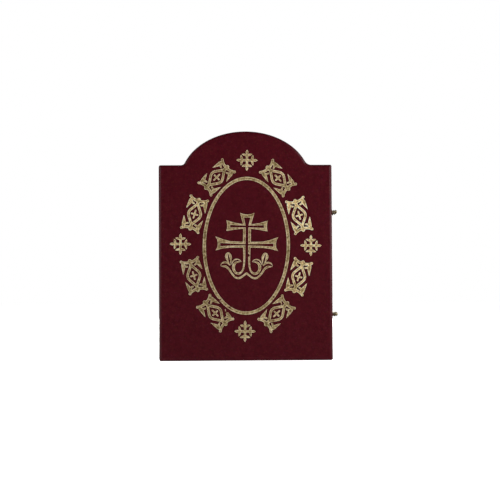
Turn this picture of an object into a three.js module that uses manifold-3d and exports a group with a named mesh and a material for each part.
// A folding icon of two leaves: two arch-topped boards wrapped in burgundy leatherette, joined along
// the left edge by a leatherette spine and held shut on the right edge by two small brass swing hooks.
// Each leaf carries an icon panel, let into its inner face. Millimetres, +Z up, the front cover faces -Y.
import * as THREE from "three";
import { mergeVertices } from "three/addons/utils/BufferGeometryUtils.js";
import Module from "manifold-3d";

const wasm = await Module();
wasm.setup();

// Driving sizes of the closed icon.
const WIDTH = 128.5; // over the spine and the fore-edge, without the hooks
const HEIGHT = 170; // base to the crown of the arch
const SHOULDER_HEIGHT = 145; // base to the shoulders beside the arch
const LEAF_THICKNESS = 10;
const LEAF_GAP = 0.6; // air between the inner faces of the closed leaves
const FIT_GAP = 0.3; // air between pieces that lie against each other

// The arch is the top of an ellipse, with a small hollow fillet where it meets each shoulder.
const ARCH_HALF_WIDTH = 48.1;
const ARCH_RISE = 36.2;
const ARCH_FILLET = 4;
const CORNER_RADIUS = 1.2;
const LEAST_RADIUS = 0.2;
const ARCH_STEPS = 32;
const FILLET_STEPS = 4;
const CORNER_STEPS = 2;

// The wrapped edges: fuller on the cover, tighter on the inner face.
const COVER_EDGE_RADIUS = 1.8;
const INNER_EDGE_RADIUS = 0.9;
const EDGE_STEPS = 4;

// The icon panels and the recess that they lie in.
const ICON_MARGIN = 8.5;
const RECESS_DEPTH = 1.3;
const ICON_THICKNESS = 0.9;

// The spine: one strip glued to the left faces of both leaves.
const SPINE_THICKNESS = 0.8;
const SPINE_BACK_OFF = 1.1; // strip edge to cover face
const SPINE_END_MARGIN = 1.5;

// The brass swing hooks on the fore-edge, and the dome-headed nails that carry and catch them.
const CLASP_HEIGHTS = { upper: 110, lower: 34 };
const NAIL_REACH = 4; // leaf face to the top of the nail's head
const NAIL_HEAD_RADIUS = 1.5;
const NAIL_HEAD_RISE = 1.35;
const NAIL_HEAD_RIM = 0.35; // upright edge below the dome
const NAIL_SHANK_RADIUS = 0.7;
const NAIL_DEPTH = 7;
const NAIL_STEPS = 12;
const DOME_STEPS = 4;
const HOOK_THICKNESS = 1.25;
const HOOK_STAND_OFF = 1; // leaf face to the hook's back
const HOOK_EYE_RADIUS = 1.75;
const HOOK_EYE_DROP = 0.35; // the eye hangs a little below the pivot nail's axis
const HOOK_WRAP_RADIUS = 1.95; // catch nail's axis to the middle of the hook's bend
const HOOK_HALF_WIDTH = 0.85;
const HOOK_TIP_HALF_WIDTH = 0.5;
const HOOK_STEPS = 18;

// Places worked out from the sizes above.
const leafRight = WIDTH / 2;
const spineRoom = SPINE_THICKNESS + FIT_GAP;
const archCentreHeight = HEIGHT - ARCH_RISE;
const innerFace = LEAF_GAP / 2;
const coverFace = innerFace + LEAF_THICKNESS;
const nailDepthPlace = innerFace + LEAF_THICKNESS / 2;
const nailSpacing = 2 * nailDepthPlace;

const leatherette = new THREE.MeshStandardMaterial({ color: 0x45141b, roughness: 0.55, metalness: 0 });
const brass = new THREE.MeshStandardMaterial({ color: 0x9a8450, roughness: 0.4, metalness: 1 });
const iconPaint = new THREE.MeshStandardMaterial({ color: 0xb08a45, roughness: 0.5, metalness: 0.2 });

// Points of an arc round (x, z) from one angle to another, both ends included.
function arcPoints(x, z, radius, from, to, steps) {
  return Array.from({ length: steps + 1 }, (_, i) => {
    const angle = from + ((to - from) * i) / steps;
    return new THREE.Vector2(x + radius * Math.cos(angle), z + radius * Math.sin(angle));
  });
}

// The leaf's outline, drawn in by an inset all round, anticlockwise from the lower right corner.
// Its left side stands back to leave room for the spine, and the arch is centred on the closed icon.
// Every inset gives the same number of points, so that outlines can be joined ring to ring.
function leafOutline(inset) {
  const halfWidth = leafRight - inset;
  const shoulder = SHOULDER_HEIGHT - inset;
  const across = ARCH_HALF_WIDTH - inset;
  const rise = ARCH_RISE - inset;
  const fillet = ARCH_FILLET + inset;
  const corner = Math.max(CORNER_RADIUS - inset, LEAST_RADIUS);
  const onArch = (t) => new THREE.Vector2(across * Math.cos(t), archCentreHeight + rise * Math.sin(t));
  const outward = (t) => new THREE.Vector2(rise * Math.cos(t), across * Math.sin(t)).normalize();
  const filletCentre = (t) => onArch(t).addScaledVector(outward(t), fillet);

  // The fillet touches the shoulder where its centre stands one radius above it.
  let low = 0;
  let high = Math.PI / 2;
  for (let i = 0; i < 40; i++) {
    const middle = (low + high) / 2;
    if (filletCentre(middle).y < shoulder + fillet) low = middle;
    else high = middle;
  }
  const springing = (low + high) / 2;
  const centre = filletCentre(springing);
  const lean = Math.atan2(outward(springing).y, outward(springing).x);

  const cornerArc = (x, z, from) => arcPoints(x, z, corner, from, from + Math.PI / 2, CORNER_STEPS);
  const side = (reach) => [
    ...cornerArc(reach - corner, inset + corner, -Math.PI / 2),
    ...cornerArc(reach - corner, shoulder - corner, 0),
    ...arcPoints(centre.x, centre.y, fillet, -Math.PI / 2, lean - Math.PI, FILLET_STEPS),
  ];
  const arch = Array.from({ length: ARCH_STEPS - 1 }, (_, i) => {
    const share = (i + 1) / ARCH_STEPS;
    return onArch(springing + (Math.PI - 2 * springing) * share);
  });
  const left = side(halfWidth - spineRoom).map((p) => new THREE.Vector2(-p.x, p.y)).reverse();
  return [...side(halfWidth), ...arch, ...left];
}

// A closed solid through a stack of rings, each an outline's points at one depth, capped at both ends.
function ringSolid(rings) {
  const count = rings[0].points.length;
  const positions = rings.flatMap(({ points, depth }) => points.flatMap((p) => [p.x, depth, p.y]));
  const index = [];
  for (let r = 0; r + 1 < rings.length; r++) {
    for (let i = 0; i < count; i++) {
      const a = r * count + i;
      const b = r * count + ((i + 1) % count);
      index.push(a, b + count, b, a, a + count, b + count);
    }
  }
  const last = (rings.length - 1) * count;
  for (const [a, b, c] of THREE.ShapeUtils.triangulateShape(rings[0].points, [])) index.push(a, b, c);
  for (const [a, b, c] of THREE.ShapeUtils.triangulateShape(rings.at(-1).points, [])) {
    index.push(last + a, last + c, last + b);
  }
  const geometry = new THREE.BufferGeometry();
  geometry.setAttribute("position", new THREE.Float32BufferAttribute(positions, 3));
  geometry.setIndex(index);
  return geometry;
}

// A closed geometry as a solid, with only its places kept and alike corners merged.
function toSolid(geometry) {
  const bare = geometry.clone();
  bare.deleteAttribute("normal");
  bare.deleteAttribute("uv");
  const merged = mergeVertices(bare, 1e-4);
  return new wasm.Manifold(
    new wasm.Mesh({
      numProp: 3,
      vertProperties: new Float32Array(merged.attributes.position.array),
      triVerts: new Uint32Array(merged.index.array),
    }),
  );
}

function toGeometry(solid) {
  const mesh = solid.getMesh();
  const geometry = new THREE.BufferGeometry();
  geometry.setAttribute("position", new THREE.BufferAttribute(mesh.vertProperties, 3));
  geometry.setIndex(new THREE.BufferAttribute(mesh.triVerts, 1));
  geometry.computeVertexNormals();
  return geometry;
}

// Rings that round one edge of a leaf, from its flat face to its side.
function roundedEdge(face, inwards, radius) {
  return Array.from({ length: EDGE_STEPS + 1 }, (_, i) => {
    const angle = ((Math.PI / 2) * i) / EDGE_STEPS;
    return { inset: radius * (1 - Math.sin(angle)), depth: face + inwards * radius * (1 - Math.cos(angle)) };
  });
}

const atDepth = ({ inset, depth }) => ({ points: leafOutline(inset), depth });

// One wrapped board, from its cover face (-Y) to its inner face (+Y), with the recess for its icon.
function leafGeometry() {
  const rings = [
    ...roundedEdge(-coverFace, 1, COVER_EDGE_RADIUS),
    ...roundedEdge(-innerFace, -1, INNER_EDGE_RADIUS).reverse(),
    { inset: ICON_MARGIN, depth: -innerFace },
    { inset: ICON_MARGIN, depth: -innerFace - RECESS_DEPTH },
  ];
  let board = toSolid(ringSolid(rings.map(atDepth)));
  for (const height of Object.values(CLASP_HEIGHTS)) board = board.subtract(nailHole(height));
  return toGeometry(board);
}

// The panel that lies in a leaf's recess, clear of it all round.
function iconGeometry() {
  const floor = -innerFace - RECESS_DEPTH + FIT_GAP;
  const rings = [
    { inset: ICON_MARGIN + FIT_GAP, depth: floor },
    { inset: ICON_MARGIN + FIT_GAP, depth: floor + ICON_THICKNESS },
  ];
  return ringSolid(rings.map(atDepth));
}

// A lathe profile turned round the X axis, with its own axis laid on the front leaf's fore-edge.
function turnedOnEdge(profile, height) {
  const geometry = new THREE.LatheGeometry(profile, NAIL_STEPS);
  geometry.rotateZ(-Math.PI / 2);
  geometry.translate(leafRight, -nailDepthPlace, height);
  return geometry;
}

function nailHole(height) {
  const radius = NAIL_SHANK_RADIUS + FIT_GAP;
  const profile = [
    new THREE.Vector2(0, -NAIL_DEPTH - FIT_GAP),
    new THREE.Vector2(radius, -NAIL_DEPTH - FIT_GAP),
    new THREE.Vector2(radius, FIT_GAP),
    new THREE.Vector2(0, FIT_GAP),
  ];
  return toSolid(turnedOnEdge(profile, height));
}

// A nail with a domed head, standing out of the fore-edge.
function nailGeometry(height) {
  const underHead = NAIL_REACH - NAIL_HEAD_RISE;
  const domeBase = underHead + NAIL_HEAD_RIM;
  const dome = Array.from({ length: DOME_STEPS + 1 }, (_, i) => {
    const angle = ((Math.PI / 2) * i) / DOME_STEPS;
    const rise = (NAIL_REACH - domeBase) * Math.sin(angle);
    return new THREE.Vector2(NAIL_HEAD_RADIUS * Math.cos(angle), domeBase + rise);
  });
  dome[DOME_STEPS].x = 0;
  const profile = [
    new THREE.Vector2(0, -NAIL_DEPTH),
    new THREE.Vector2(NAIL_SHANK_RADIUS, -NAIL_DEPTH + NAIL_SHANK_RADIUS),
    new THREE.Vector2(NAIL_SHANK_RADIUS, underHead),
    new THREE.Vector2(NAIL_HEAD_RADIUS, underHead),
    ...dome,
  ];
  return turnedOnEdge(profile, height);
}

// A flat shape in (depth, height), stood on the fore-edge as a plate of the hook's thickness.
function hookPlate(shape, height) {
  const geometry = new THREE.ExtrudeGeometry(shape, {
    depth: HOOK_THICKNESS,
    bevelEnabled: false,
    curveSegments: NAIL_STEPS,
  });
  const places = new THREE.Matrix4().makeBasis(
    new THREE.Vector3(0, 1, 0),
    new THREE.Vector3(0, 0, 1),
    new THREE.Vector3(1, 0, 0),
  );
  geometry.applyMatrix4(places);
  geometry.translate(leafRight + HOOK_STAND_OFF, -nailDepthPlace, height);
  return geometry;
}

// The swing hook: an eye round the pivot nail, a bowed arm, a bend over the catch nail and a turned-out tip.
function hookGeometry(height) {
  const bend = [100, 60, 20, -15].map((degrees) => {
    const angle = THREE.MathUtils.degToRad(degrees);
    return new THREE.Vector2(
      nailSpacing + HOOK_WRAP_RADIUS * Math.cos(angle),
      HOOK_WRAP_RADIUS * Math.sin(angle),
    );
  });
  const tip = new THREE.Vector2(nailSpacing + 1.55 * HOOK_WRAP_RADIUS, -HOOK_WRAP_RADIUS);
  const bow = new THREE.Vector2(nailSpacing / 2, 0.9 * HOOK_WRAP_RADIUS);
  const middle = new THREE.SplineCurve([new THREE.Vector2(HOOK_EYE_RADIUS / 2, 0), bow, ...bend, tip]);
  const sides = { upper: [], under: [] };
  for (let i = 0; i <= HOOK_STEPS; i++) {
    const share = i / HOOK_STEPS;
    const at = middle.getPointAt(share);
    const along = middle.getTangentAt(share);
    const half = THREE.MathUtils.lerp(HOOK_HALF_WIDTH, HOOK_TIP_HALF_WIDTH, share ** 3);
    const across = new THREE.Vector2(-along.y, along.x).multiplyScalar(half);
    sides.upper.push(at.clone().add(across));
    sides.under.push(at.clone().sub(across));
  }
  const arm = new THREE.Shape([...sides.under, ...sides.upper.reverse()]);
  const eye = new THREE.Shape();
  eye.absarc(0, -HOOK_EYE_DROP, HOOK_EYE_RADIUS, 0, 2 * Math.PI);
  const hole = turnedOnEdge(
    [
      new THREE.Vector2(0, 0),
      new THREE.Vector2(NAIL_SHANK_RADIUS + FIT_GAP, 0),
      new THREE.Vector2(NAIL_SHANK_RADIUS + FIT_GAP, NAIL_REACH),
      new THREE.Vector2(0, NAIL_REACH),
    ],
    height,
  );
  const plate = toSolid(hookPlate(arm, height)).add(toSolid(hookPlate(eye, height)));
  return toGeometry(plate.subtract(toSolid(hole)));
}

// The leatherette spine over the left faces of both leaves, up to the shoulders.
function spineGeometry() {
  const deep = 2 * (coverFace - COVER_EDGE_RADIUS) + SPINE_BACK_OFF;
  const tall = SHOULDER_HEIGHT - 2 * SPINE_END_MARGIN;
  const geometry = new THREE.BoxGeometry(SPINE_THICKNESS, deep, tall);
  geometry.translate((-WIDTH + SPINE_THICKNESS) / 2, 0, SHOULDER_HEIGHT / 2);
  return geometry;
}

// The back leaf is the front leaf's mirror image in the plane between them.
function mirrored(geometry) {
  const turned = geometry.clone();
  turned.scale(1, -1, 1);
  const index = turned.index.array;
  for (let i = 0; i < index.length; i += 3) [index[i + 1], index[i + 2]] = [index[i + 2], index[i + 1]];
  turned.computeVertexNormals();
  return turned;
}

function named(name, geometry, material) {
  const mesh = new THREE.Mesh(geometry, material);
  mesh.name = name;
  return mesh;
}

const frontLeaf = new THREE.Group();
const backLeaf = new THREE.Group();
frontLeaf.add(
  named("front_leaf", leafGeometry(), leatherette),
  named("front_icon", iconGeometry(), iconPaint),
);
backLeaf.add(
  named("back_leaf", mirrored(leafGeometry()), leatherette),
  named("back_icon", mirrored(iconGeometry()), iconPaint),
  named("spine_strip", spineGeometry(), leatherette),
);
for (const [place, height] of Object.entries(CLASP_HEIGHTS)) {
  const catchNail = named(`${place}_catch_nail`, nailGeometry(height), brass);
  catchNail.position.y = nailSpacing;
  backLeaf.add(catchNail);
  frontLeaf.add(
    named(`${place}_pivot_nail`, nailGeometry(height), brass),
    named(`${place}_hook`, hookGeometry(height), brass),
  );
}

// The origin is under the middle of the closed icon, hooks included.
const icon = new THREE.Group();
icon.add(frontLeaf, backLeaf);
icon.position.x = -NAIL_REACH / 2;

export default icon;
